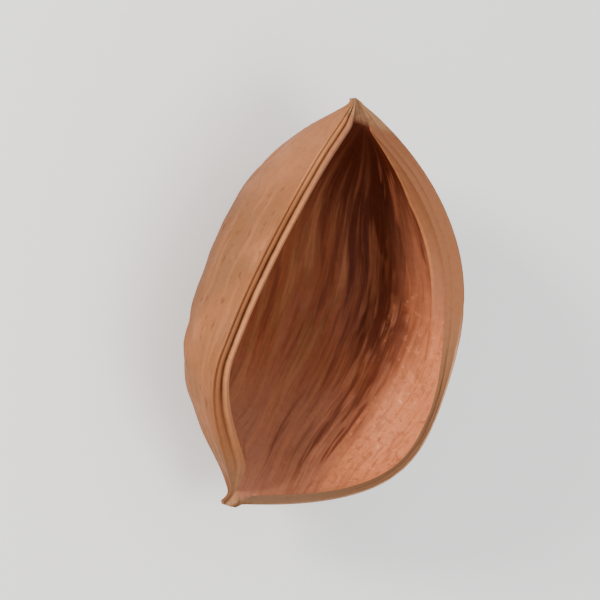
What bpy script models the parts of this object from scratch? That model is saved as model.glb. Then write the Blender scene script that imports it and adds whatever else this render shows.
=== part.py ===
"""One dried, woody half-shell of a land lotus pod, lying on its back with the hollow up.

The shell is drawn section by section in its growth frame, in millimetres: X runs from the
stem to the tip, Y to the left and Z out of the mouth. It is then rolled and pitched to the
attitude in which it lies at rest, and scaled to metres.
"""
import math

import bmesh
import bpy
from mathutils import Matrix, Vector

MM = 0.001

# Reach of the rim to each side, its height and the depth of the belly. Each has its largest
# value, the station of it and two powers for the fullness of the curve: on the tip's side,
# then on the stem's. Stations run from 0 at the stem to 1 at the tip.
LENGTH = 57.0
RIGHT_RIM = (25.4, 0.365, 2.99, 0.77, 3.60, 0.83)
LEFT_RIM = (15.9, 0.340, 2.01, 0.90, 2.12, 1.45)
RIM_HEIGHT = (7.6, 0.440, 2.30, 1.00, 2.30, 1.00)
BELLY = (21.0, 0.620, 2.47, 1.04, 2.73, 1.21)
FULLNESS = 2.3
BODY = (1.0, 0.5, 2.0, 1.0, 2.0, 1.0)

# Wall of the husk, thicker on the left, where a shoulder broadens the rim towards the stem.
WALL = 1.7
LEFT_WALL = 2.5
BASE_WALL = 1.7
TIP_WALL = 2.9
BEAK_SHARE = 0.3
SHOULDER, SHOULDER_END = 2.4, 0.36

# Broken stub of the stem at the base, with its reach to the left, to the right and down.
STUB_LENGTH = 0.4
STUB_REACH = (1.0, 2.2, 1.4)
STUB_DOME = 1.0
STUB_END_SHARE = 0.75
STUB_RINGS = 3

# Blunt, fibrous end of the beak at the tip, and how far the middle of both ends lies below
# the rim, as a share of their reach down.
TIP_REACH = (1.1, 1.1, 1.1)
TIP_BULGE = 0.3
END_SAG = 0.33

# Rim, from its outer edge to its inner edge: share across, height over the straight line.
# The right rim is flatter, and bevelled into the marginal zone in the tip's half.
RIM_PROFILE = ((0.0, 0.0), (0.13, -0.18), (0.28, 0.10), (0.42, 0.04), (0.54, -0.42), (0.76, 0.32), (1.0, 0.0))
RIGHT_RIM_RELIEF = 0.20
BEVEL_ANGLE, BEVEL_STARTS = 4.0, (0.35, 0.60)
RIM_FADE_STEM, RIM_FADE_TIP = 20.0, 2.0

# Marginal zone just under the rim, inside the hollow. Its lower edge stands proud of the
# lining in the tip's half of the shell.
ZONE_WIDTH_STEM, ZONE_WIDTH_TIP = 1.2, 4.1
ZONE_WIDENS = (0.12, 0.57)
ZONE_STEP = 0.6
ZONE_RAISE = 0.85
ZONE_RISES = (0.42, 0.66)
ZONE_SHARE, STEP_SHARE = 0.30, 0.12

# Relief of the skin: a crease along the keel between two lobes, worn shallow around the place
# on which the shell rests, ribs that fan out from the stem and slanting wrinkles on the sides.
# Angles around a section are in degrees.
KEEL_CREASE, CREASE_WIDTH = 0.55, 9.0
CREASE_WORN_AT, CREASE_WORN_REACH, CREASE_WORN_SHARE = 32.0, 10.0, 0.9
LOBE_SWELL, LOBE_ANGLE = 0.45, 42.0
STEM_RIBS, STEM_RIB_COUNT = 0.5, 11
STEM_RIB_START, STEM_RIB_REACH = 3.0, 8.0
SIDE_WRINKLES, WRINKLE_SPACING, WRINKLE_SLANT = 0.12, 6.4, 48.0
WRINKLES_FROM, WRINKLES_FULL = 35.0, 55.0
SKIN_FADE = 22.0

# Relief of the lining: broad pleats from end to end, full where the hollow is deep enough.
PLEATS, PLEAT_COUNT, PLEAT_PHASE = 0.30, 5, 0.6
PLEAT_END, PLEAT_FADE = 75.0, 25.0
FULL_DEPTH = 8.0
STUB_DOME_REACH = 2.5

# Attitude at rest: angles in degrees, then the middle of the worn spot, in millimetres.
ROLL = 0.0
PITCH = -8.0
SPOT = (32.0, -5.0, -8.83)

# Points along the shell, how far they crowd towards its ends, and points in each band
# around a section.
STATIONS = 64
CROWDING = 0.8
SKIN_POINTS = 26
RIM_POINTS = 6
ZONE_POINTS = 1
STEP_POINTS = 1
FLOOR_POINTS = 22
SECTION_POINTS = SKIN_POINTS + 2 * (RIM_POINTS + ZONE_POINTS + STEP_POINTS) + FLOOR_POINTS


def clear_scene():
    for thing in list(bpy.data.objects):
        bpy.data.objects.remove(thing, do_unlink=True)


def hump(t, curve):
    """Height at station t of a curve that is zero at both ends of the shell."""
    top, peak, tip_shoulder, tip_end, stem_shoulder, stem_end = curve
    if t < peak:
        away, shoulder, end = (peak - t) / peak, stem_shoulder, stem_end
    else:
        away, shoulder, end = (t - peak) / (1.0 - peak), tip_shoulder, tip_end
    return top * max(0.0, 1.0 - min(away, 1.0) ** shoulder) ** end


def bend(value, power):
    return math.copysign(abs(value) ** power, value)


def smooth(value):
    value = min(max(value, 0.0), 1.0)
    return value * value * (3.0 - 2.0 * value)


def larger(a, b):
    """The larger of two lengths, with a soft change from one to the other."""
    return (a ** 4 + b ** 4) ** 0.25


def skin_reach(x):
    """Reach of the skin to the left, to the right and down at x."""
    t = min(max(x / LENGTH, 0.0), 1.0)
    least = STUB_REACH if x < LENGTH / 2.0 else TIP_REACH
    return [larger(hump(t, curve), end) for curve, end in zip((LEFT_RIM, RIGHT_RIM, BELLY), least)]


def section_point(left, right, height, depth, angle):
    """Point of a section at an angle from -90 (right rim) over 0 (keel) to 90 (left rim)."""
    turn = math.radians(angle)
    across = bend(math.sin(turn), 2.0 / FULLNESS)
    down = bend(max(math.cos(turn), 0.0), 2.0 / FULLNESS)
    return (left - right) / 2.0 + (left + right) / 2.0 * across, height - depth * down


def push(y, z, middle, height, amount):
    """Moves a point of a section away from the middle of its mouth."""
    reach = math.hypot(y - middle, z - height)
    if reach < 1e-6:
        return y, z
    return y + amount * (y - middle) / reach, z + amount * (z - height) / reach


def skin_relief(x, t, angle):
    body = hump(t, BODY)
    worn = CREASE_WORN_SHARE * math.exp(-((x - CREASE_WORN_AT) / CREASE_WORN_REACH) ** 2)
    crease = -KEEL_CREASE * (1.0 - worn) * math.exp(-(angle / CREASE_WIDTH) ** 2) * body
    lobes = LOBE_SWELL * math.cos(math.radians(2.0 * (abs(angle) - LOBE_ANGLE))) * body
    rim_fade = smooth((90.0 - abs(angle)) / SKIN_FADE)
    rib_height = STEM_RIBS * math.exp(-max(x, 0.0) / STEM_RIB_REACH) * smooth(x / STEM_RIB_START)
    ribs = rib_height * math.cos(STEM_RIB_COUNT * math.radians(angle))
    side = smooth((abs(angle) - WRINKLES_FROM) / (WRINKLES_FULL - WRINKLES_FROM))
    wave = x / WRINKLE_SPACING + angle / WRINKLE_SLANT + 0.35 * math.sin(0.21 * x + 0.05 * angle)
    wrinkles = SIDE_WRINKLES * math.sin(2.0 * math.pi * wave) * side * body
    return crease + (lobes + ribs + wrinkles) * rim_fade


def skin_point(x, angle):
    """Outer skin at x. The stub of the stem lies at x below zero."""
    t = min(max(x / LENGTH, 0.0), 1.0)
    left, right, depth = skin_reach(x)
    height = hump(t, RIM_HEIGHT)
    y, z = section_point(left, right, height, depth, angle)
    return push(y, z, (left - right) / 2.0, height, skin_relief(x, t, angle))


def lining_size(x):
    """Left reach, right reach, rim height and depth of the hollow at x."""
    t = min(max(x / LENGTH, 0.0), 1.0)
    inside = (x - BASE_WALL) / (LENGTH - BASE_WALL - TIP_WALL)
    inside = min(max(inside, 0.0), 1.0)
    left, right, belly = hump(inside, LEFT_RIM), hump(inside, RIGHT_RIM), hump(inside, BELLY)
    left_least, right_least = (BEAK_SHARE * reach for reach in skin_reach(x)[:2])
    shoulder = SHOULDER * (1.0 - smooth(t / SHOULDER_END))
    left = larger(max(left * (1.0 - LEFT_WALL / LEFT_RIM[0]) - shoulder, 0.0), left_least)
    right = larger(right * (1.0 - WALL / RIGHT_RIM[0]), right_least)
    return left, right, hump(t, RIM_HEIGHT), belly * (1.0 - WALL / BELLY[0])


def zone_angles(depth, width):
    """Angles on the lining of the zone's lower edge and of the foot of its step."""
    crest, step = ZONE_SHARE, STEP_SHARE
    if depth > 0.0:
        crest, step = min(width / depth, crest), min(ZONE_STEP / depth, step)
    return [math.degrees(math.acos(share ** (FULLNESS / 2.0))) for share in (crest, crest + step)]


def zone_height(t):
    """Thickness of the zone's lower edge, which runs out into the lining towards the stem."""
    start, end = ZONE_RISES
    return ZONE_RAISE * smooth((t - start) / (end - start))


def zone_width(t):
    start, end = ZONE_WIDENS
    return ZONE_WIDTH_STEM + (ZONE_WIDTH_TIP - ZONE_WIDTH_STEM) * smooth((t - start) / (end - start))


def lining_point(x, angle, raised):
    """Lining of the hollow at x, with a share of the marginal zone's thickness."""
    left, right, height, depth = lining_size(x)
    y, z = section_point(left, right, height, depth, angle)
    body = smooth(depth / FULL_DEPTH)
    fade = smooth((PLEAT_END - abs(angle)) / PLEAT_FADE)
    pleats = PLEATS * math.sin(2.0 * PLEAT_COUNT * math.radians(angle) + PLEAT_PHASE) * fade
    stub_dome = STUB_DOME * math.cos(math.radians(angle)) * smooth(1.0 - x / STUB_DOME_REACH)
    y, z = push(y, z, (left - right) / 2.0, height, -(zone_height(x / LENGTH) * raised + pleats) * body)
    return y, z + stub_dome


def bevel(t):
    """Angle by which the inner edge of the right rim lies below its outer edge."""
    start, end = BEVEL_STARTS
    return BEVEL_ANGLE * smooth((t - start) / (end - start))


def rim_point(x, side, share):
    """Point on the ridged rim, from the outer edge (share 0) to the inner edge (share 1)."""
    outer = skin_point(x, 90.0 * side)
    inner = lining_point(x, 90.0 if side > 0 else bevel(x / LENGTH) - 90.0, 0.0)
    for (s0, h0), (s1, h1) in zip(RIM_PROFILE, RIM_PROFILE[1:]):
        if s0 <= share <= s1:
            lift = h0 + (h1 - h0) * (share - s0) / (s1 - s0)
    lift *= smooth(x / RIM_FADE_STEM) * smooth((LENGTH - x) / RIM_FADE_TIP)
    lift *= 1.0 if side > 0 else RIGHT_RIM_RELIEF
    return outer[0] + (inner[0] - outer[0]) * share, outer[1] + (inner[1] - outer[1]) * share + lift


def section_loop(x):
    """Points around one section: skin, left rim, lining, right rim."""
    t = min(max(x / LENGTH, 0.0), 1.0)
    crest, foot = zone_angles(lining_size(x)[3], zone_width(t))
    shares = [point[0] for point in RIM_PROFILE[:-1]]
    loop = [skin_point(x, -90.0 + 180.0 * i / SKIN_POINTS) for i in range(SKIN_POINTS)]
    loop += [rim_point(x, 1, share) for share in shares]
    loop += [lining_point(x, 90.0, 0.0), lining_point(x, crest, 1.0)]
    loop += [lining_point(x, foot - 2.0 * foot * i / FLOOR_POINTS, 0.0) for i in range(FLOOR_POINTS + 1)]
    loop += [lining_point(x, -crest, 1.0), lining_point(x, bevel(t) - 90.0, 0.0)]
    loop += [rim_point(x, -1, share) for share in reversed(shares[1:])]
    return loop


def station_x(ring):
    """Place of a ring along the shell. Rings are close together towards both ends."""
    if ring <= STUB_RINGS:
        return -STUB_LENGTH * (1.0 - (ring - 1) / STUB_RINGS)
    share = (ring - STUB_RINGS) / (STATIONS - STUB_RINGS)
    return LENGTH * (CROWDING * (1.0 - math.cos(math.pi * share)) / 2.0 + (1.0 - CROWDING) * share)


def shape_shell(bm):
    """Moves each ring of a sphere to its section of the shell, in the growth frame."""
    sections = {ring: section_loop(station_x(ring)) for ring in range(1, STATIONS)}
    stem_middle = Vector((-STUB_LENGTH, 0.0, -END_SAG * STUB_REACH[2]))
    tip_middle = Vector((LENGTH + TIP_BULGE, 0.0, -END_SAG * TIP_REACH[2]))
    for vertex in bm.verts:
        ring = round(math.acos(max(-1.0, min(1.0, vertex.co.z))) / math.pi * STATIONS)
        if ring == 0:
            vertex.co = stem_middle
        elif ring == STATIONS:
            vertex.co = tip_middle
        else:
            turn = math.atan2(vertex.co.x, vertex.co.y) / (2.0 * math.pi)
            y, z = sections[ring][round(turn * SECTION_POINTS) % SECTION_POINTS]
            taper = min(1.0, STUB_END_SHARE + (1.0 - STUB_END_SHARE) * (ring - 1) / STUB_RINGS)
            vertex.co = stem_middle.lerp(Vector((station_x(ring), y, z)), taper)
            vertex.co.x = station_x(ring)


def lay_down(bm):
    """Turns the shell to its attitude at rest and wears a small flat spot under it."""
    turn = Matrix.Rotation(math.radians(PITCH), 4, "Y") @ Matrix.Rotation(math.radians(ROLL), 4, "X")
    bmesh.ops.transform(bm, matrix=Matrix.Translation(-Vector(SPOT)) @ turn, verts=bm.verts)
    for vertex in bm.verts:
        vertex.co.z = max(vertex.co.z, 0.0)
    bmesh.ops.scale(bm, vec=Vector((MM, MM, MM)), verts=bm.verts)


def husk_material():
    material = bpy.data.materials.new("husk")
    material.use_nodes = True
    shader = material.node_tree.nodes["Principled BSDF"]
    shader.inputs["Base Color"].default_value = (0.40, 0.17, 0.085, 1.0)
    shader.inputs["Roughness"].default_value = 0.55
    return material


def build_shell():
    bm = bmesh.new()
    bmesh.ops.create_uvsphere(bm, u_segments=SECTION_POINTS, v_segments=STATIONS, radius=1.0)
    shape_shell(bm)
    lay_down(bm)
    mesh = bpy.data.meshes.new("pod_shell")
    bm.to_mesh(mesh)
    bm.free()
    mesh.shade_smooth()
    mesh.materials.append(husk_material())
    return bpy.data.objects.new("pod_shell", mesh)


def main():
    clear_scene()
    collection = bpy.data.collections.new("land_lotus_pod")
    bpy.context.scene.collection.children.link(collection)
    collection.objects.link(build_shell())


main()
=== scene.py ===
# %% [markdown]
# # A dried land lotus pod
#
# The object is one half of a woody seed husk, about 57 mm long. It grew as one piece, so it
# is one mesh with one material here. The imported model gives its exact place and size, and
# this lesson gives it the finer relief and the colours that the real husk shows.

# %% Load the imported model
import math

import bmesh
import bpy
from mathutils import Matrix, Vector, noise


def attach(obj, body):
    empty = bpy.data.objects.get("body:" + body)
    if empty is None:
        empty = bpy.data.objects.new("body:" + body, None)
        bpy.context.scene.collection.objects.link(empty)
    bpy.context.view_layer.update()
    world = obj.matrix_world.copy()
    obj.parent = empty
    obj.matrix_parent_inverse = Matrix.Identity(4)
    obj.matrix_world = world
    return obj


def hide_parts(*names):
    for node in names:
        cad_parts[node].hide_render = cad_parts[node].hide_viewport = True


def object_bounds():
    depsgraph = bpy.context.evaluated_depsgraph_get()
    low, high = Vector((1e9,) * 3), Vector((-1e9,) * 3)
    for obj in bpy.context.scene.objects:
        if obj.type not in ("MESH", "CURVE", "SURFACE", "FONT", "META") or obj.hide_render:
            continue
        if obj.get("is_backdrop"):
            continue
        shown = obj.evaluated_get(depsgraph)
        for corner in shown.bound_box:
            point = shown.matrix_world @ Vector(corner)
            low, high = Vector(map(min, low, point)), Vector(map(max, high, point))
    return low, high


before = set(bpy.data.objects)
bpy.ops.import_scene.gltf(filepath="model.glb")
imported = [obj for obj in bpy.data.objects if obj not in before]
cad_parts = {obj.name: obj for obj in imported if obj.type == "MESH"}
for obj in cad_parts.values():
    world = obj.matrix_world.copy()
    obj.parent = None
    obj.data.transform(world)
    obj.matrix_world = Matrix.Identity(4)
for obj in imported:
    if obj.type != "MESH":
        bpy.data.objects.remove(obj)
solid_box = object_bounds()
MM = 0.001
print("packed nodes:", sorted(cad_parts))

# %% [markdown]
# ## How the shell grew and how it lies
#
# The husk is easiest to describe where it grew: X runs from the stem to the tip, Y to the
# left and Z out of the mouth. It lies at rest a little pitched, so one matrix takes every
# point from the growth frame, in millimetres, to the scene, in metres.

# %% Attitude at rest
LENGTH = 57.0
ROLL = 0.0
PITCH = -8.0
SPOT = Vector((32.0, -5.0, -8.83))

turn = Matrix.Rotation(math.radians(PITCH), 4, "Y") @ Matrix.Rotation(math.radians(ROLL), 4, "X")
lay_down = Matrix.Scale(MM, 4) @ Matrix.Translation(-SPOT) @ turn
print("stem end lies at", [round(v, 4) for v in lay_down @ Vector((0, 0, 0))])

# %% [markdown]
# ## The camera
#
# In the photograph the hollow faces the viewer from the left side, the tip points up and leans
# to the right. Three directions in the growth frame say this exactly, so the camera is set
# from them and not by trial. A long lens keeps the small husk free of strong perspective.

# %% Camera
VIEW_TILT = 42.0
TIP_LEAN = 17.7
LENS = 230.0
CAMERA_DISTANCE = 0.52
AIM = Vector((29.0, -2.5, -1.5))


def camera_matrix():
    tilt, lean = math.radians(VIEW_TILT), math.radians(TIP_LEAN)
    back = turn @ Vector((0.0, math.sin(tilt), math.cos(tilt)))
    along = turn @ Vector((1.0, 0.0, 0.0))
    across = turn @ Vector((0.0, -math.cos(tilt), math.sin(tilt)))
    right = across * math.cos(lean) + along * math.sin(lean)
    up = along * math.cos(lean) - across * math.sin(lean)
    place = lay_down @ AIM + back * CAMERA_DISTANCE
    matrix = Matrix((right, up, back)).transposed().to_4x4()
    matrix.translation = place
    return matrix


camera_data = bpy.data.cameras.new("camera")
camera_data.lens = LENS
camera_data.clip_start = 0.01
camera = bpy.data.objects.new("camera", camera_data)
camera.matrix_world = camera_matrix()
bpy.context.scene.collection.objects.link(camera)
bpy.context.scene.camera = camera
view_back = (camera.location - lay_down @ AIM).normalized()
print("camera looks down by", round(math.degrees(math.asin(view_back.z)), 1), "degrees")

# %% [markdown]
# ## Light and floor
#
# The photograph has the soft light of a product picture: a large source from the upper left,
# a weak fill and a white surround. Area lights give such soft edges. They stand around the
# shell in the world, so that they stay put when the shell is looked at from elsewhere.

# %% Lights
TARGET = lay_down @ Vector((28.0, -4.0, -4.0))


def soft_light(name, direction, distance, size, power, colour):
    data = bpy.data.lights.new(name, "AREA")
    data.shape = "DISK"
    data.size = size
    data.energy = power
    data.color = colour
    light = bpy.data.objects.new(name, data)
    away = Vector(direction).normalized()
    light.location = TARGET + away * distance
    light.rotation_euler = away.to_track_quat("Z", "Y").to_euler()
    bpy.context.scene.collection.objects.link(light)
    return light


lights = [
    soft_light("key_light", direction=(0.14, 0.94, 0.30), distance=0.60, size=0.14, power=5.6,
               colour=(1.0, 0.96, 0.90)),
    soft_light("top_light", direction=(-0.20, -0.10, 1.00), distance=0.70, size=0.45, power=2.0,
               colour=(1.0, 0.98, 0.96))]
print("lights:", [light.name for light in lights])

# %% White surround
SURROUND_STRENGTH = 0.78

world = bpy.data.worlds.new("studio")
world.use_nodes = True
background = world.node_tree.nodes["Background"]
background.inputs["Color"].default_value = (1.0, 0.99, 0.98, 1.0)
background.inputs["Strength"].default_value = SURROUND_STRENGTH
bpy.context.scene.world = world
print("surround strength:", SURROUND_STRENGTH)

# %% Floor
FLOOR_HALF_WIDTH = 1.5
FLOOR_GLOW = 0.30

floor_mesh = bmesh.new()
bmesh.ops.create_grid(floor_mesh, x_segments=1, y_segments=1, size=FLOOR_HALF_WIDTH)
floor_data = bpy.data.meshes.new("floor")
floor_mesh.to_mesh(floor_data)
floor_mesh.free()
floor = bpy.data.objects.new("floor", floor_data)
bpy.context.scene.collection.objects.link(floor)
floor_finish = bpy.data.materials.new("pale_floor")
floor_finish.use_nodes = True
floor_shader = floor_finish.node_tree.nodes["Principled BSDF"]
floor_shader.inputs["Base Color"].default_value = (0.93, 0.93, 0.93, 1.0)
floor_shader.inputs["Roughness"].default_value = 0.9
floor_shader.inputs["Emission Color"].default_value = (1.0, 1.0, 1.0, 1.0)
floor_shader.inputs["Emission Strength"].default_value = FLOOR_GLOW
floor_data.materials.append(floor_finish)
floor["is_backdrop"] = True
print("floor is", round(floor.dimensions.x, 2), "m wide")

# %% [markdown]
# ## The outline of the husk
#
# Four curves say how far the rim reaches to each side, how high it rises and how deep the
# belly is. Each is a hump that is zero at both ends. It is told by its top, by the place of
# its peak along the shell, and by two powers for its fullness on the tip's side and two on
# the stem's. Such a formula gives a smooth organic outline from a few numbers, where
# hand-placed points would show dents.

# %% Reach, rise and depth
RIGHT_RIM = (25.4, 0.365, 2.99, 0.77, 3.60, 0.83)
LEFT_RIM = (15.9, 0.340, 2.01, 0.90, 2.12, 1.45)
RIM_HEIGHT = (7.6, 0.440, 2.30, 1.00, 2.30, 1.00)
BELLY = (21.0, 0.620, 2.47, 1.04, 2.73, 1.21)


def hump(t, curve):
    top, peak, tip_shoulder, tip_end, stem_shoulder, stem_end = curve
    if t < peak:
        away, shoulder, end = (peak - t) / peak, stem_shoulder, stem_end
    else:
        away, shoulder, end = (t - peak) / (1.0 - peak), tip_shoulder, tip_end
    return top * max(0.0, 1.0 - min(away, 1.0) ** shoulder) ** end


def smooth(value):
    value = min(max(value, 0.0), 1.0)
    return value * value * (3.0 - 2.0 * value)


def larger(a, b):
    return (a ** 4 + b ** 4) ** 0.25


def bend(value, power):
    return math.copysign(abs(value) ** power, value)


widest = max(hump(i / 100.0, RIGHT_RIM) + hump(i / 100.0, LEFT_RIM) for i in range(101))
print("widest section:", round(widest, 1), "mm")

# %% [markdown]
# ## A section through the husk
#
# Each section is a closed loop: the outer skin, the left rim, the lining of the hollow and
# the right rim. A full, slightly squared curve joins the two rims under the keel. A point on
# it is told by its angle, which is 0 at the keel, 90 at the left rim and -90 at the right
# one. At both ends a least reach keeps a small stub or a blunt tip, where a hump alone would
# end in a needle.

# %% Points of a section
FULLNESS = 2.3
STUB_REACH = (1.0, 2.2, 1.4)
TIP_REACH = (1.1, 1.1, 1.1)


def skin_reach(x):
    """Reach to the left, to the right and down at x."""
    t = min(max(x / LENGTH, 0.0), 1.0)
    least = STUB_REACH if x < LENGTH / 2.0 else TIP_REACH
    return [larger(hump(t, curve), end) for curve, end in zip((LEFT_RIM, RIGHT_RIM, BELLY), least)]


def section_point(left, right, height, depth, angle):
    lean = math.radians(angle)
    across = bend(math.sin(lean), 2.0 / FULLNESS)
    down = bend(max(math.cos(lean), 0.0), 2.0 / FULLNESS)
    return (left - right) / 2.0 + (left + right) / 2.0 * across, height - depth * down


def push(y, z, middle, height, amount):
    """Moves a point of a section away from its middle."""
    reach = math.hypot(y - middle, z - height)
    if reach < 1e-6:
        return y, z
    return y + amount * (y - middle) / reach, z + amount * (z - height) / reach


print("reach half-way, left, right and down:", [round(v, 1) for v in skin_reach(LENGTH / 2.0)])

# %% [markdown]
# ## Relief of the outer skin
#
# The back has two soft lobes with a crease along the keel, ribs that fan out from the stem
# and slanting wrinkles on its sides. On top of these lie fine lengthwise fibres, a crepe of
# shallow folds and small pits, all from noise. Only the noise of the pits isn't stretched
# along the fibres. The fine relief cuts into the skin, so the husk keeps its size.

# %% Fine relief of the skin
SKIN_FADE = 22.0
SKIN_FIBRE = 0.08
SKIN_PITS, PIT_SIZE, PIT_RARITY = 0.18, 1.9, 0.25
SKIN_CREPE = 0.22


def fibre_noise(x, angle, length, width, seed):
    """Noise drawn out along the fibres, its length in mm and its width in degrees."""
    return noise.noise(Vector((x / length, angle / width, seed)))


def fine_skin(x, y, z, angle):
    fibres = fibre_noise(x, angle, 13.0, 2.6, 1.7) + 0.6 * fibre_noise(x, angle, 6.0, 1.4, 5.1)
    pits = max(0.0, noise.noise(Vector((x, y, z)) / PIT_SIZE) - PIT_RARITY)
    crepe = abs(fibre_noise(x, angle, 6.0, 8.0, 3.3)) * smooth((90.0 - abs(angle)) / SKIN_FADE)
    return SKIN_FIBRE * (fibres - 1.0) - SKIN_PITS * pits - SKIN_CREPE * crepe


print("fine relief at the keel, half-way:", round(fine_skin(LENGTH / 2.0, 0.0, 0.0, 0.0), 3), "mm")

# %% Outer skin
BODY = (1.0, 0.5, 2.0, 1.0, 2.0, 1.0)
KEEL_CREASE, CREASE_WIDTH = 0.55, 9.0
CREASE_WORN_AT, CREASE_WORN_REACH, CREASE_WORN_SHARE = 32.0, 10.0, 0.9
LOBE_SWELL, LOBE_ANGLE = 0.45, 42.0
STEM_RIBS, STEM_RIB_COUNT = 0.5, 11
STEM_RIB_START, STEM_RIB_REACH = 3.0, 8.0
SIDE_WRINKLES, WRINKLE_SPACING, WRINKLE_SLANT = 0.12, 6.4, 48.0
WRINKLE_WANDER = 0.35
WRINKLES_FROM, WRINKLES_FULL = 35.0, 55.0


def skin_relief(x, t, angle):
    body = hump(t, BODY)
    worn = CREASE_WORN_SHARE * math.exp(-((x - CREASE_WORN_AT) / CREASE_WORN_REACH) ** 2)
    crease = -KEEL_CREASE * (1.0 - worn) * math.exp(-(angle / CREASE_WIDTH) ** 2) * body
    lobes = LOBE_SWELL * math.cos(math.radians(2.0 * (abs(angle) - LOBE_ANGLE))) * body
    rim_fade = smooth((90.0 - abs(angle)) / SKIN_FADE)
    rib_fade = math.exp(-max(x, 0.0) / STEM_RIB_REACH) * smooth(x / STEM_RIB_START)
    ribs = STEM_RIBS * math.cos(STEM_RIB_COUNT * math.radians(angle)) * rib_fade
    side = smooth((abs(angle) - WRINKLES_FROM) / (WRINKLES_FULL - WRINKLES_FROM))
    wander = WRINKLE_WANDER * math.sin(0.21 * x + 0.05 * angle)
    wave = x / WRINKLE_SPACING + angle / WRINKLE_SLANT + wander
    wrinkles = SIDE_WRINKLES * math.sin(2.0 * math.pi * wave) * side * body
    return crease + (lobes + ribs + wrinkles) * rim_fade


def skin_point(x, angle):
    t = min(max(x / LENGTH, 0.0), 1.0)
    left, right, depth = skin_reach(x)
    height = hump(t, RIM_HEIGHT)
    y, z = section_point(left, right, height, depth, angle)
    amount = skin_relief(x, t, angle) + fine_skin(x, y, z, angle)
    return push(y, z, (left - right) / 2.0, height, amount)


print("keel half-way, left and up:", [round(v, 2) for v in skin_point(LENGTH / 2.0, 0.0)])

# %% [markdown]
# ## The lining of the hollow
#
# Inside, a paler marginal zone runs under the rim and ends in a low step. Below it the lining
# falls in broad pleats towards the keel, with silky fibres and a fine grain between them. It
# has the same humps as the skin, made smaller by the wall and shorter by the solid ends. Near
# the stem the left rim is broader, so the hollow draws in there.

# %% Hollow and marginal zone
WALL, LEFT_WALL = 1.7, 2.5
BASE_WALL, TIP_WALL = 1.7, 2.9
BEAK_SHARE = 0.3
SHOULDER, SHOULDER_END = 2.4, 0.36
ZONE_WIDTH_STEM, ZONE_WIDTH_TIP = 1.2, 4.1
ZONE_WIDENS = (0.12, 0.57)
ZONE_STEP = 0.6
ZONE_RAISE = 0.85
ZONE_RISES = (0.42, 0.66)
ZONE_SHARE, STEP_SHARE = 0.30, 0.12


def lining_size(x):
    """Reach to the left and to the right, height of the rim and depth at x."""
    t = min(max(x / LENGTH, 0.0), 1.0)
    inside = min(max((x - BASE_WALL) / (LENGTH - BASE_WALL - TIP_WALL), 0.0), 1.0)
    left, right, belly = hump(inside, LEFT_RIM), hump(inside, RIGHT_RIM), hump(inside, BELLY)
    left_least, right_least = (BEAK_SHARE * reach for reach in skin_reach(x)[:2])
    shoulder = SHOULDER * (1.0 - smooth(t / SHOULDER_END))
    left = larger(max(left * (1.0 - LEFT_WALL / LEFT_RIM[0]) - shoulder, 0.0), left_least)
    right = larger(right * (1.0 - WALL / RIGHT_RIM[0]), right_least)
    return left, right, hump(t, RIM_HEIGHT), belly * (1.0 - WALL / BELLY[0])


def zone_angles(depth, width):
    """Angles of the crest and of the foot of the low step."""
    crest, step = ZONE_SHARE, STEP_SHARE
    if depth > 0.0:
        crest, step = min(width / depth, crest), min(ZONE_STEP / depth, step)
    return [math.degrees(math.acos(share ** (FULLNESS / 2.0))) for share in (crest, crest + step)]


def zone_height(t):
    start, end = ZONE_RISES
    return ZONE_RAISE * smooth((t - start) / (end - start))


def zone_width(t):
    start, end = ZONE_WIDENS
    return ZONE_WIDTH_STEM + (ZONE_WIDTH_TIP - ZONE_WIDTH_STEM) * smooth((t - start) / (end - start))


print("hollow half-way, left, right, height, depth:", [round(v, 1) for v in lining_size(LENGTH / 2.0)])

# %% [markdown]
# ## How the fibres of the lining run
#
# The fibres fan out from the tip. Past the middle of the shell they run straight on and only
# slowly come together, as if they lay in a fan of slanted planes. So each point gets the
# number of the fibre that passes through it: its own angle near the tip, and nearer the stem
# about the angle that its fibre had at the middle of the shell. The relief and the colours
# both follow this number.

# %% Number of a fibre
FIBRES_FROM = 0.50
FIBRES_TURN = (0.14, 0.78)
FIBRE_SLANT, FIBRE_LIMIT = 42.0, 20.0
FIBRES_PER_MM = 3.3
FAN_MIDDLE, FAN_REACH = 7.0, 62.0


def slanted_plane(x, angle):
    y, z = section_point(*lining_size(x), min(angle, FIBRE_LIMIT))
    slant = math.radians(FIBRE_SLANT)
    return y * math.cos(slant) - z * math.sin(slant)


KEEL_PLANE = slanted_plane(FIBRES_FROM * LENGTH, 0.0)


def fibre_number(x, angle):
    opening = (FIBRES_FROM * LENGTH + FAN_REACH) / (x + FAN_REACH)
    plane = FAN_MIDDLE + (slanted_plane(x, angle) - FAN_MIDDLE) * opening
    number = (plane - KEEL_PLANE) * FIBRES_PER_MM + max(angle - FIBRE_LIMIT, 0.0)
    straight = smooth((FIBRES_TURN[1] - x / LENGTH) / (FIBRES_TURN[1] - FIBRES_TURN[0]))
    return angle + (number - angle) * straight


print("fibre at the keel, near the stem and near the tip:",
      [round(fibre_number(share * LENGTH, 0.0), 1) for share in (0.2, 0.9)])

# %% Points of the lining
PLEATS, PLEAT_COUNT, PLEAT_PHASE = 0.30, 5, 0.6
PLEAT_END, PLEAT_FADE = 75.0, 25.0
FULL_DEPTH = 8.0
STUB_DOME, STUB_DOME_REACH = 1.0, 2.5
LINING_FIBRE = 0.12
LINING_GRAIN, GRAIN_SIZE = 0.09, 1.1
SILK_END, SILK_FADE = 84.0, 6.0


def fine_lining(x, y, z, fibre):
    silk = fibre_noise(x, fibre, 12.0, 3.4, 9.3) + 0.5 * fibre_noise(x, fibre, 6.0, 1.6, 4.4)
    return LINING_FIBRE * silk + LINING_GRAIN * noise.noise(Vector((x, y, z)) / GRAIN_SIZE)


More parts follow.
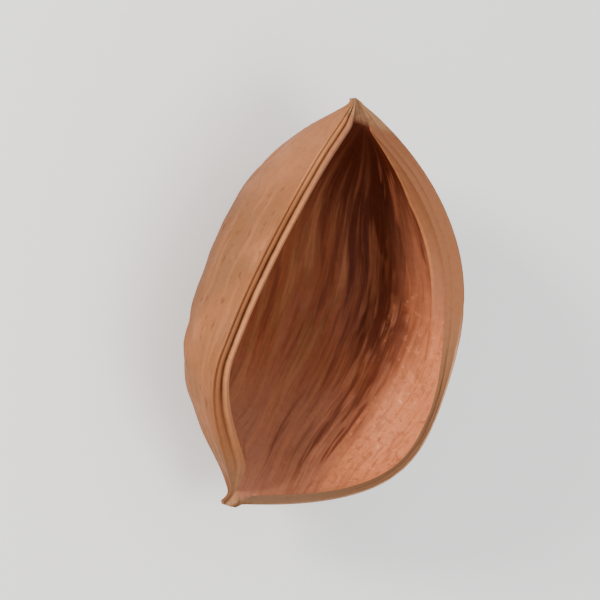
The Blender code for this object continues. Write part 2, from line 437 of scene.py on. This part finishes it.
def lining_point(x, angle, raised):
    left, right, height, depth = lining_size(x)
    y, z = section_point(left, right, height, depth, angle)
    silk = fine_lining(x, y, z, fibre_number(x, angle)) * smooth((SILK_END - abs(angle)) / SILK_FADE)
    body = smooth(depth / FULL_DEPTH)
    fade = smooth((PLEAT_END - abs(angle)) / PLEAT_FADE)
    pleats = PLEATS * math.sin(2.0 * PLEAT_COUNT * math.radians(angle) + PLEAT_PHASE) * fade
    stub_dome = STUB_DOME * math.cos(math.radians(angle)) * smooth(1.0 - x / STUB_DOME_REACH)
    relief = (zone_height(x / LENGTH) * raised + pleats + silk) * body
    y, z = push(y, z, (left - right) / 2.0, height, -relief)
    return y, z + stub_dome


floor_wall = lining_point(LENGTH / 2.0, 0.0, 0.0)[1] - skin_point(LENGTH / 2.0, 0.0)[1]
print("wall at the keel, half-way:", round(floor_wall, 2), "mm")

# %% [markdown]
# ## The rim
#
# Where the two halves of the pod split, the edge shows its layers: a faint line beside the
# skin, a tan strip, a dark groove and a bright woody ridge along the hollow. The right rim is
# flatter, and towards the tip a bevel lets it run smoothly into the marginal zone.

# %% Rim
RIM_PROFILE = (
    (0.0, 0.0), (0.13, -0.18), (0.28, 0.10), (0.42, 0.04),
    (0.54, -0.42), (0.76, 0.32), (1.0, 0.0))
RIGHT_RIM_RELIEF = 0.20
BEVEL_ANGLE, BEVEL_STARTS = 4.0, (0.35, 0.60)
RIM_FADE_STEM, RIM_FADE_TIP = 20.0, 2.0
RIM_ROUGHNESS = 0.07


def bevel(t):
    start, end = BEVEL_STARTS
    return BEVEL_ANGLE * smooth((t - start) / (end - start))


def rim_lift(share):
    """Height of the profile at a share of the way from the skin to the hollow."""
    for (s0, h0), (s1, h1) in zip(RIM_PROFILE, RIM_PROFILE[1:]):
        if s0 <= share <= s1:
            return h0 + (h1 - h0) * smooth((share - s0) / (s1 - s0))
    return 0.0


def rim_point(x, side, share):
    outer = skin_point(x, 90.0 * side)
    inner = lining_point(x, 90.0 if side > 0 else bevel(x / LENGTH) - 90.0, 0.0)
    fibres = RIM_ROUGHNESS * noise.noise(Vector((x / 2.4, side * 7.0, share * 5.0)))
    relief = rim_lift(share) * (1.0 if side > 0 else RIGHT_RIM_RELIEF)
    fade = smooth(x / RIM_FADE_STEM) * smooth((LENGTH - x) / RIM_FADE_TIP)
    lift = relief * fade + (fibres - RIM_ROUGHNESS) * math.sin(math.pi * share)
    return outer[0] + (inner[0] - outer[0]) * share, outer[1] + (inner[1] - outer[1]) * share + lift


rim_edges = [rim_point(LENGTH / 2.0, 1, share)[0] for share in (0.0, 1.0)]
print("left rim half-way is", round(rim_edges[0] - rim_edges[1], 2), "mm wide")

# %% [markdown]
# ## From a sphere to the husk
#
# A sphere already has what the husk needs: meridians that run from pole to pole, as the
# fibres do from stem to tip, and rings that can each take the shape of one section. So the
# mesh starts as a UV sphere, and every ring is moved to its section. The same pass notes
# for each point which layer it lies on and where it is along and across the fibres.

# %% Bands around a section
STUB_LENGTH, STUB_RINGS = 0.4, 12
STATIONS = 292
CROWDING = 0.8
SKIN_POINTS = 118
RIM_POINTS = 24
ZONE_POINTS = 14
STEP_POINTS = 6
FLOOR_POINTS = 110
BANDS = (
    ("skin", SKIN_POINTS),
    ("left_rim", RIM_POINTS), ("left_zone", ZONE_POINTS), ("left_step", STEP_POINTS),
    ("floor", FLOOR_POINTS),
    ("right_step", STEP_POINTS), ("right_zone", ZONE_POINTS), ("right_rim", RIM_POINTS))
SECTION_POINTS = sum(count for name, count in BANDS)


def band_point(band, x, share, crest, foot):
    """Place, layer (0 skin, 1 rim, 2 lining), angle, and share across the rim or the zone."""
    if band == "skin":
        angle = -90.0 + 180.0 * share
        return skin_point(x, angle), 0.0, angle, 0.0
    if band == "left_rim":
        return rim_point(x, 1, share), 1.0, 90.0, share
    if band == "right_rim":
        return rim_point(x, -1, 1.0 - share), 1.0, -90.0, 1.0 - share
    edges = {
        "left_zone": (90.0, crest, 0.0, 1.0),
        "left_step": (crest, foot, 1.0, 0.0),
        "floor": (foot, -foot, 0.0, 0.0),
        "right_step": (-foot, -crest, 0.0, 1.0),
        "right_zone": (-crest, bevel(x / LENGTH) - 90.0, 1.0, 0.0)}
    start, end, raise_0, raise_1 = edges[band]
    angle = start + (end - start) * share
    raised = raise_0 + (raise_1 - raise_0) * smooth(share)
    zone_share = 0.6 + 0.4 * raised if band.endswith("zone") else raised
    return lining_point(x, angle, raised), 2.0, angle, zone_share


def section_loop(x):
    t = min(max(x / LENGTH, 0.0), 1.0)
    crest, foot = zone_angles(lining_size(x)[3], zone_width(t))
    return [band_point(band, x, i / count, crest, foot) for band, count in BANDS for i in range(count)]


def station_x(ring):
    if ring <= STUB_RINGS:
        return -STUB_LENGTH * (1.0 - (ring - 1) / STUB_RINGS)
    share = (ring - STUB_RINGS) / (STATIONS - STUB_RINGS)
    return LENGTH * (CROWDING * (1.0 - math.cos(math.pi * share)) / 2.0 + (1.0 - CROWDING) * share)


print("points around a section:", SECTION_POINTS, "and stations along the shell:", STATIONS)

# %% Shape the shell
STUB_END_SHARE = 0.75
TIP_BULGE = 0.3
END_SAG = 0.33

shell = bmesh.new()
bmesh.ops.create_uvsphere(shell, u_segments=SECTION_POINTS, v_segments=STATIONS, radius=1.0)
sections = {ring: section_loop(station_x(ring)) for ring in range(1, STATIONS)}
stem_middle = Vector((-STUB_LENGTH, 0.0, -END_SAG * STUB_REACH[2]))
tip_middle = Vector((LENGTH + TIP_BULGE, 0.0, -END_SAG * TIP_REACH[2]))
layer_of, band_of, along_of, angle_of, fibre_of = (
    shell.verts.layers.float.new(name) for name in ("layer", "band", "along", "angle", "fibre"))

for vertex in shell.verts:
    ring = round(math.acos(max(-1.0, min(1.0, vertex.co.z))) / math.pi * STATIONS)
    if ring in (0, STATIONS):
        vertex.co = tip_middle if ring else stem_middle
        vertex[along_of] = ring / STATIONS
        continue
    step = round(math.atan2(vertex.co.x, vertex.co.y) / (2.0 * math.pi) * SECTION_POINTS) % SECTION_POINTS
    (y, z), layer, angle, share = sections[ring][step]
    x = station_x(ring)
    taper = min(1.0, STUB_END_SHARE + (1.0 - STUB_END_SHARE) * (ring - 1) / STUB_RINGS)
    vertex.co = stem_middle.lerp(Vector((x, y, z)), taper)
    vertex.co.x = x
    vertex[layer_of] = layer
    vertex[band_of] = share
    vertex[along_of] = x / LENGTH
    vertex[angle_of] = angle
    vertex[fibre_of] = fibre_number(x, angle) if layer > 1.5 else angle
print("points:", len(shell.verts), "triangles:", sum(len(f.verts) - 2 for f in shell.faces))

# %% [markdown]
# ## Laying it down
#
# A husk that has lain about for long has a small worn spot where it rests. Points that would
# reach below the floor are lifted to it, which makes that spot flat.

# %% Rest on the worn spot
bmesh.ops.transform(shell, matrix=lay_down, verts=shell.verts)
for vertex in shell.verts:
    vertex.co.z = max(vertex.co.z, 0.0)
pod_mesh = bpy.data.meshes.new("husk_shell")
shell.to_mesh(pod_mesh)
shell.free()
pod_mesh.shade_smooth()
pod = bpy.data.objects.new("husk_shell", pod_mesh)
bpy.context.scene.collection.objects.link(pod)
print("size in mm:", [round(v / MM, 2) for v in pod.dimensions])

# %% [markdown]
# ## The finish of the husk
#
# Dried husk is a dull, fibrous, red-brown wood. Its lining is darker and silkier than the
# skin, and the split rim is pale. The layer, the place along the fibres and the angle around
# the section are stored on the mesh, so the colours follow the growth and not the camera.
# The colours are mixed by shader nodes, and a few helpers keep each mix to one line.

# %% Helpers for shader nodes
husk = bpy.data.materials.new("husk")
husk.use_nodes = True
tree = husk.node_tree


def add(kind, inputs=(), **settings):
    """A new node, with its inputs set to values or linked to sockets."""
    made = tree.nodes.new(kind)
    for name, value in settings.items():
        setattr(made, name, value)
    for name, value in dict(inputs).items():
        if isinstance(value, bpy.types.NodeSocket):
            tree.links.new(value, made.inputs[name])
        else:
            made.inputs[name].default_value = value
    return made


def attribute(name):
    return add("ShaderNodeAttribute", attribute_name=name).outputs["Fac"]


def calc(operation, a, b=0.0):
    return add("ShaderNodeMath", {0: a, 1: b}, operation=operation).outputs[0]


def times(first, *others):
    for other in others:
        first = calc("MULTIPLY", first, other)
    return first


def ramp(value, low, high, start=0.0, end=1.0):
    """A soft step: start where the value is low, end where it is high."""
    limits = {"Value": value, "From Min": low, "From Max": high, "To Min": start, "To Max": end}
    return add("ShaderNodeMapRange", limits, interpolation_type="SMOOTHSTEP").outputs["Result"]


print("nodes to begin with:", [node.name for node in tree.nodes])

# %% Helpers for colours
SHARE_SOCKET, FIRST_SOCKET, SECOND_SOCKET, MIXED_SOCKET = 0, 6, 7, 2


def mix(share, first, second):
    """Two colours mixed. These are the Mix node's socket numbers for colours."""
    inputs = {SHARE_SOCKET: share, FIRST_SOCKET: first, SECOND_SOCKET: second}
    return add("ShaderNodeMix", inputs, data_type="RGBA").outputs[MIXED_SOCKET]


def paint(colour, *coats):
    """Lays coats, each a mask and its colour, over a colour in their order."""
    for mask, coat in coats:
        colour = mix(mask, colour, coat)
    return colour


def shader_noise(spot, scale, detail, roughness):
    inputs = {"Vector": spot, "Scale": scale, "Detail": detail, "Roughness": roughness}
    return add("ShaderNodeTexNoise", inputs).outputs[0]


# %% [markdown]
# ## Grain and streaks
#
# Two kinds of noise break the colours up. Grain has no direction and lies in the object's own
# space. Streaks are the same noise read along and across the fibres, so they stay long and
# thin and fan out as the fibres do. A slow wander of a few degrees keeps them from looking
# ruled, and a shift for each layer keeps them from running on across the rim.

# %% Grain and streaks
WANDER_DEGREES = 4.5
LAYER_SHIFT = 3.7

layer, band, along, angle, fibre = (
    attribute(name) for name in ("layer", "band", "along", "angle", "fibre"))
place = add("ShaderNodeTexCoord").outputs["Object"]


def grain(scale, detail=4.0, roughness=0.55):
    return shader_noise(place, scale, detail, roughness)


blotches = grain(140.0)
clouds = grain(55.0, 2.0)
grit = grain(1500.0, 3.0, 0.6)
wander = times(calc("SUBTRACT", clouds, 0.5), WANDER_DEGREES)


def streaks(per_length, per_degree, seed, detail=2.0):
    """Noise along the fibres, with its scales per shell length and per degree."""
    around = times(calc("ADD", fibre, wander), per_degree)
    shift = calc("ADD", times(layer, LAYER_SHIFT), seed)
    spot = add("ShaderNodeCombineXYZ", {"X": times(along, per_length), "Y": around, "Z": shift})
    return shader_noise(spot.outputs[0], 1.0, detail, 0.5)


wide_streaks = streaks(3.0, 0.085, 0.0, 1.0)
thin_streaks = streaks(4.6, 0.24, 5.0)
hair_streaks = streaks(11.0, 0.75, 9.0)
print("nodes with the grain and the streaks:", len(tree.nodes))

# %% [markdown]
# ## Colours of the lining
#
# The lining is mid-brown on the left and striped olive and red along the middle. The valley right
# of the keel is painted darkest: this is painted shade. Towards the tip the lining darkens, partly
# in its own colour and partly as painted shade deep in the hollow. The wall beside it is rust near
# the tip and salmon towards the stem. The salmon is partly the wall's own colour and partly a
# painted pool of light where the key light falls on the wall. Each tone has a soft mask of its
# own, made from the place along the shell and the angle around it, and the streaks ruffle the
# masks' edges.

# %% Tones of the lining
lining_brown = (0.214, 0.052, 0.018, 1.0)
# dark tone, used for the dark streaks and for painted shade in the valley and towards the tip
lining_dark_and_shade = (0.060, 0.0070, 0.0010, 1.0)
lining_rust = (0.240, 0.077, 0.038, 1.0)
# salmon: partly the wall's own colour, partly a painted pool of light where the key light falls
lining_salmon_lit = (0.505, 0.158, 0.066, 1.0)
lining_olive = (0.165, 0.052, 0.016, 1.0)
lining_pale = (0.390, 0.130, 0.056, 1.0)
lining_rosy = (0.285, 0.108, 0.060, 1.0)
print("the dark tone has", round(lining_dark_and_shade[0] / lining_salmon_lit[0], 2), "of the red of the salmon one")

# %% Where each tone lies
RUFFLE_DEGREES = 36.0

ruffle = times(calc("SUBTRACT", thin_streaks, 0.5), RUFFLE_DEGREES)
ruffled = calc("ADD", fibre, ruffle)
# partly painted light: the salmon wall is partly its own colour and partly a painted pool of light on the
# lit wall
salmon_edge = ramp(along, 0.34, 0.58, -69.0, -65.0)
lit_salmon_mask = times(ramp(calc("SUBTRACT", salmon_edge, ruffled), -6.0, 7.0), ramp(along, 0.68, 0.48))
valley_line = calc("ADD", times(along, 62.0), -90.0)
off_valley = calc("ABSOLUTE", calc("SUBTRACT", ruffled, valley_line))
# painted shade: the valley right of the keel is darkened where shade falls deep in the hollow
valley_shade_mask = times(ramp(off_valley, 26.0, 4.0), ramp(along, 0.34, 0.54))
rust_mask = times(ramp(calc("SUBTRACT", valley_line, ruffled), 6.0, 20.0), ramp(along, 0.52, 0.70))
# darker towards the tip: partly the lining's own colour and partly painted shade deep in the apex
tip_shade_mask = ramp(along, 0.62, 0.90)
middle_mask = ramp(calc("ABSOLUTE", calc("ADD", angle, 8.0)), 50.0, 22.0)
stem_mask = ramp(along, 0.42, 0.16)
pale_share = ramp(along, 0.72, 0.92, 1.0, 0.20)
dark_share = ramp(lit_salmon_mask, 0.0, 1.0, 1.0, 0.15)
print("nodes with the masks of the lining:", len(tree.nodes))

# %% Blend the tones
olive_stripes = times(ramp(thin_streaks, 0.42, 0.60), middle_mask)
lining = paint(
    mix(olive_stripes, lining_brown, lining_olive),
    (ramp(wide_streaks, 0.48, 0.66, 0.0, 0.5), lining_rust),
    (times(stem_mask, 0.8), lining_rosy),
    (rust_mask, lining_rust),
    # partly painted light: salmon where the key light falls on the wall
    (lit_salmon_mask, lining_salmon_lit),
    # painted shade in the valley right of the keel
    (times(valley_shade_mask, 0.84), lining_dark_and_shade),
    # partly painted shade towards the tip
    (times(tip_shade_mask, 0.94), lining_dark_and_shade),
    (times(ramp(thin_streaks, 0.50, 0.70, 0.0, 0.38), pale_share), lining_pale),
    (times(ramp(thin_streaks, 0.48, 0.30, 0.0, 0.55), dark_share), lining_dark_and_shade),
    (times(ramp(hair_streaks, 0.52, 0.74, 0.0, 0.22), pale_share), lining_pale),
    (times(ramp(hair_streaks, 0.46, 0.26, 0.0, 0.25), dark_share), lining_dark_and_shade))
print("nodes with the tones of the lining:", len(tree.nodes))

# %% [markdown]
# ## The salmon wall and its border
#
# The salmon wall is not plain: thin brown streaks run through it and small specks, pits and
# pale flecks lie on it. Along its edge run bold red and pink streaks, and the rust wall near
# the tip has pink ones. They are laid over the tones, each kept in place by a mask.

# %% Streaks and specks of the salmon wall
salmon_brown = (0.300, 0.085, 0.032, 1.0)
salmon_speck = (0.600, 0.205, 0.088, 1.0)
salmon_pit = (0.250, 0.072, 0.027, 1.0)
salmon_fleck = (0.700, 0.300, 0.160, 1.0)
salmon_streaks = streaks(16.0, 0.60, 71.0)
lining = paint(
    lining,
    (times(ramp(salmon_streaks, 0.50, 0.34, 0.0, 0.55), lit_salmon_mask), salmon_brown),
    (times(ramp(grain(850.0, 3.0), 0.52, 0.66, 0.0, 0.40), lit_salmon_mask), salmon_speck),
    (times(ramp(grain(1150.0, 2.0), 0.57, 0.66, 0.0, 0.50), lit_salmon_mask), salmon_pit),
    (times(ramp(grain(1300.0, 1.0), 0.68, 0.76, 0.0, 0.55), lit_salmon_mask), salmon_fleck))
print("nodes with the salmon wall:", len(tree.nodes))

# %% Red and pink streaks
border_red = (0.110, 0.018, 0.005, 1.0)
border_pink = (0.420, 0.150, 0.075, 1.0)
rust_pink = (0.420, 0.125, 0.060, 1.0)
bold_streaks = streaks(9.0, 0.34, 21.0, 1.0)
pink_streaks = streaks(10.0, 0.26, 33.0, 1.0)
beside = calc("SUBTRACT", fibre, salmon_edge)
border = times(ramp(beside, -4.0, 4.0), ramp(beside, 34.0, 10.0), ramp(along, 0.62, 0.48))
rust_wall = times(ramp(along, 0.58, 0.72), ramp(along, 0.93, 0.86), ramp(fibre, -44.0, -56.0))
lining = paint(
    lining,
    (times(ramp(bold_streaks, 0.47, 0.36), border, 0.75), border_red),
    (times(ramp(bold_streaks, 0.54, 0.66), border, 0.55), border_pink),
    (times(ramp(pink_streaks, 0.56, 0.68), rust_wall, 0.55), rust_pink))
print("nodes with the streaks of the lining:", len(tree.nodes))

# %% [markdown]
# ## Colours of the stem's end and the marginal zone
#
# Near the stem the lining turns to a tan band with a rosier end. The marginal zone under the
# rim is as pale as the skin, with a bright lip along its lower edge, and shows only from the
# middle of the shell to the tip. The lip is partly a paler lip and partly a painted highlight
# on the crest of the zone. The band attribute tells where the zone and its lip are.

# %% Colours of the stem's end and the marginal zone
stem_tan = (0.230, 0.096, 0.042, 1.0)
stem_rose = (0.400, 0.150, 0.080, 1.0)
zone_tan = (0.225, 0.086, 0.037, 1.0)
zone_pale = (0.290, 0.110, 0.052, 1.0)
# partly a paler lip, partly a painted highlight on the crest of the zone
lip_bright_and_highlight = (0.46, 0.17, 0.065, 1.0)
stem_band = times(ramp(calc("ADD", fibre, times(ruffle, 0.3)), -6.0, 24.0), ramp(along, 0.38, 0.14))
zone_mask = times(ramp(band, 0.25, 0.58), ramp(along, 0.50, 0.68))
lip_highlight_mask = times(ramp(band, 0.90, 0.99), ramp(along, 0.50, 0.70))
lining = paint(
    lining,
    (times(stem_band, 0.75), stem_tan),
    (times(ramp(along, 0.17, 0.05), 0.55), stem_rose),
    (zone_mask, mix(ramp(along, 0.78, 0.58, 0.0, 0.7), zone_tan, zone_pale)),
    # partly a paler lip, partly a painted highlight on the crest of the zone
    (times(lip_highlight_mask, 0.6), lip_bright_and_highlight))
print("nodes with the marginal zone:", len(tree.nodes))

# %% [markdown]
# ## Colours of the skin
#
# The skin is tan, clouded with olive and brown and faintly streaked. It is browner over the
# back, which is painted shade where the skin turns away from the light. A dark line follows
# the keel, and fine dark flecks lie along the fibres. It grows paler towards the tip and darker
# at the stem.

# %% Colours of the skin
skin_tan = (0.226, 0.077, 0.0255, 1.0)
skin_olive = (0.158, 0.067, 0.024, 1.0)
skin_brown = (0.175, 0.056, 0.016, 1.0)
# painted shade over the back, where the skin turns away from the light
back_shade_brown = (0.165, 0.058, 0.019, 1.0)
patch_brown = (0.120, 0.040, 0.015, 1.0)
skin_bright = (0.36, 0.125, 0.045, 1.0)
skin_fibre = (0.34, 0.130, 0.050, 1.0)
skin_fleck = (0.085, 0.026, 0.009, 1.0)
keel_dark = (0.080, 0.026, 0.010, 1.0)
skin_tip = (0.290, 0.112, 0.046, 1.0)
skin_stem = (0.110, 0.040, 0.017, 1.0)

# %% Lay the skin's colours
off_keel = calc("ABSOLUTE", angle)
patches = times(ramp(grain(46.0, 3.0), 0.48, 0.62, 0.0, 0.55), ramp(off_keel, 70.0, 45.0, 0.25, 1.0))
off_keel_line = calc("ABSOLUTE", calc("ADD", angle, times(wander, 0.5)))
keel_line = times(ramp(off_keel_line, 7.0, 0.0), ramp(along, 0.02, 0.12))
fleck_streaks = streaks(30.0, 0.50, 51.0, 1.0)
skin = paint(
    skin_tan,
    (ramp(clouds, 0.42, 0.60, 0.0, 0.75), skin_olive),
    # painted shade: browner over the back, where the skin turns away from the light
    (ramp(off_keel, 74.0, 40.0, 0.0, 0.65), back_shade_brown),
    (ramp(blotches, 0.48, 0.68, 0.0, 0.45), skin_brown),
    (ramp(blotches, 0.46, 0.30, 0.0, 0.35), skin_bright),
    (ramp(thin_streaks, 0.48, 0.66, 0.0, 0.30), skin_fibre),
    (patches, patch_brown),
    (times(keel_line, 0.45), keel_dark),
    (ramp(fleck_streaks, 0.62, 0.72, 0.0, 0.55), skin_fleck),
    (ramp(along, 0.62, 0.85, 0.0, 0.35), skin_tip),
    (ramp(along, 0.13, 0.02, 0.0, 0.45), skin_stem))
print("nodes with the skin:", len(tree.nodes))

# %% [markdown]
# ## Colours of the rim
#
# The groove of the left rim is dark and the ridge beside it is bright. The right rim has a
# pale outer edge over a browner band, which fades out towards the tip. Noise moves the edges of
# these bands a little, because a split follows the grain and is never even.

# %% Tones and bands of the rim
rim_tan, rim_tan_tip = (0.265, 0.092, 0.032, 1.0), (0.420, 0.165, 0.064, 1.0)
ridge_bright, ridge_tip = (0.420, 0.165, 0.066, 1.0), (0.270, 0.108, 0.056, 1.0)
outer_line_brown = (0.120, 0.040, 0.014, 1.0)
groove_dark = (0.070, 0.018, 0.006, 1.0)
right_brown = (0.178, 0.078, 0.033, 1.0)
right_pale = (0.480, 0.260, 0.150, 1.0)
rim_stem = (0.225, 0.118, 0.062, 1.0)
uneven = calc("ADD", band, times(calc("SUBTRACT", grain(420.0, 2.0), 0.5), 0.14))
on_left = ramp(angle, -1.0, 1.0)
left_side = times(on_left, ramp(along, 0.08, 0.32, 0.15, 1.0))
right_edge = times(calc("SUBTRACT", 1.0, on_left), ramp(along, 0.62, 0.45))
ridge = times(ramp(uneven, 0.58, 0.74), left_side)
outer_line = times(ramp(uneven, 0.02, 0.12), ramp(uneven, 0.26, 0.15))
groove = times(ramp(uneven, 0.42, 0.52), ramp(uneven, 0.66, 0.56))
worn = times(ramp(blotches, 0.62, 0.40, 0.55, 1.0), ramp(clouds, 0.38, 0.52, 0.55, 1.0))
near_tip = ramp(along, 0.66, 0.84)
print("nodes with the bands of the rim:", len(tree.nodes))

# %% Lay the rim's colours
rim = paint(
    mix(on_left, zone_tan, mix(near_tip, rim_tan, rim_tan_tip)),
    (ridge, mix(near_tip, ridge_bright, ridge_tip)),
    (times(outer_line, worn, left_side, 0.65), outer_line_brown),
    (times(groove, worn, left_side), groove_dark),
    (times(ramp(uneven, 0.10, 0.26), right_edge, 0.85), right_brown),
    (times(ramp(uneven, 0.18, 0.05), right_edge, 0.8), right_pale),
    (ramp(along, 0.15, 0.03, 0.0, 0.55), rim_stem))
print("nodes with the rim:", len(tree.nodes))

# %% [markdown]
# ## The whole surface
#
# The stored layer number, 0 for skin, 1 for rim and 2 for lining, picks the colour of each
# part. Both ends are torn, pale and fibrous, and a little grit lies over everything. Fine
# fibres and grit also make a shallow bump, the torn ends are the roughest, and the shine is
# low, as on any dry husk.

# %% Put the three layers together
torn_dark = (0.17, 0.082, 0.039, 1.0)
torn_pale = (0.33, 0.180, 0.095, 1.0)
grit_brown = (0.10, 0.028, 0.010, 1.0)
rim_ends = calc("MAXIMUM", ramp(along, 0.945, 0.965), ramp(along, 0.030, 0.010))
shell_ends = calc("MAXIMUM", ramp(along, 0.984, 0.997), ramp(along, 0.003, -0.006))
torn = calc("MAXIMUM", times(ramp(layer, 0.4, 0.6), rim_ends), shell_ends)
torn_fibres = calc("ADD", times(grit, 0.4), times(hair_streaks, 0.6))
colour = paint(
    skin,
    (ramp(layer, 0.4, 0.6), rim),
    (ramp(layer, 1.4, 1.6), lining),
    (times(torn, 0.8), mix(ramp(torn_fibres, 0.40, 0.60), torn_dark, torn_pale)),
    (ramp(grit, 0.45, 0.75, 0.0, 0.18), grit_brown))
print("nodes with the whole surface:", len(tree.nodes))

# %% Bump, roughness and shine
BUMP_DEPTH = 0.22 * MM

fibre_height = calc("ADD", times(hair_streaks, 0.6), times(grit, 0.25))
bump = add("ShaderNodeBump", {"Height": fibre_height, "Strength": 0.40, "Distance": BUMP_DEPTH})
roughness = calc("MAXIMUM", ramp(blotches, 0.3, 0.7, 0.54, 0.70), times(torn, 0.9))
gloss = ramp(torn, 0.0, 1.0, 0.15, 0.0)
shader = tree.nodes["Principled BSDF"]
tree.links.new(colour, shader.inputs["Base Color"])
tree.links.new(roughness, shader.inputs["Roughness"])
tree.links.new(bump.outputs["Normal"], shader.inputs["Normal"])
tree.links.new(gloss, shader.inputs["Specular IOR Level"])
pod_mesh.materials.append(husk)
print("shader nodes in all:", len(tree.nodes))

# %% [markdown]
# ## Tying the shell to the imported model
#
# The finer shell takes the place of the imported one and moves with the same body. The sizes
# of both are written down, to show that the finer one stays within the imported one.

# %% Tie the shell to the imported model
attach(pod, "root")
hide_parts("pod_shell")

# %% Sizes for the record
visual_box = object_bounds()
for name, box in (("solid", solid_box), ("visual", visual_box)):
    print(name, "box in mm:", [[round(v / MM, 2) for v in corner] for corner in box])
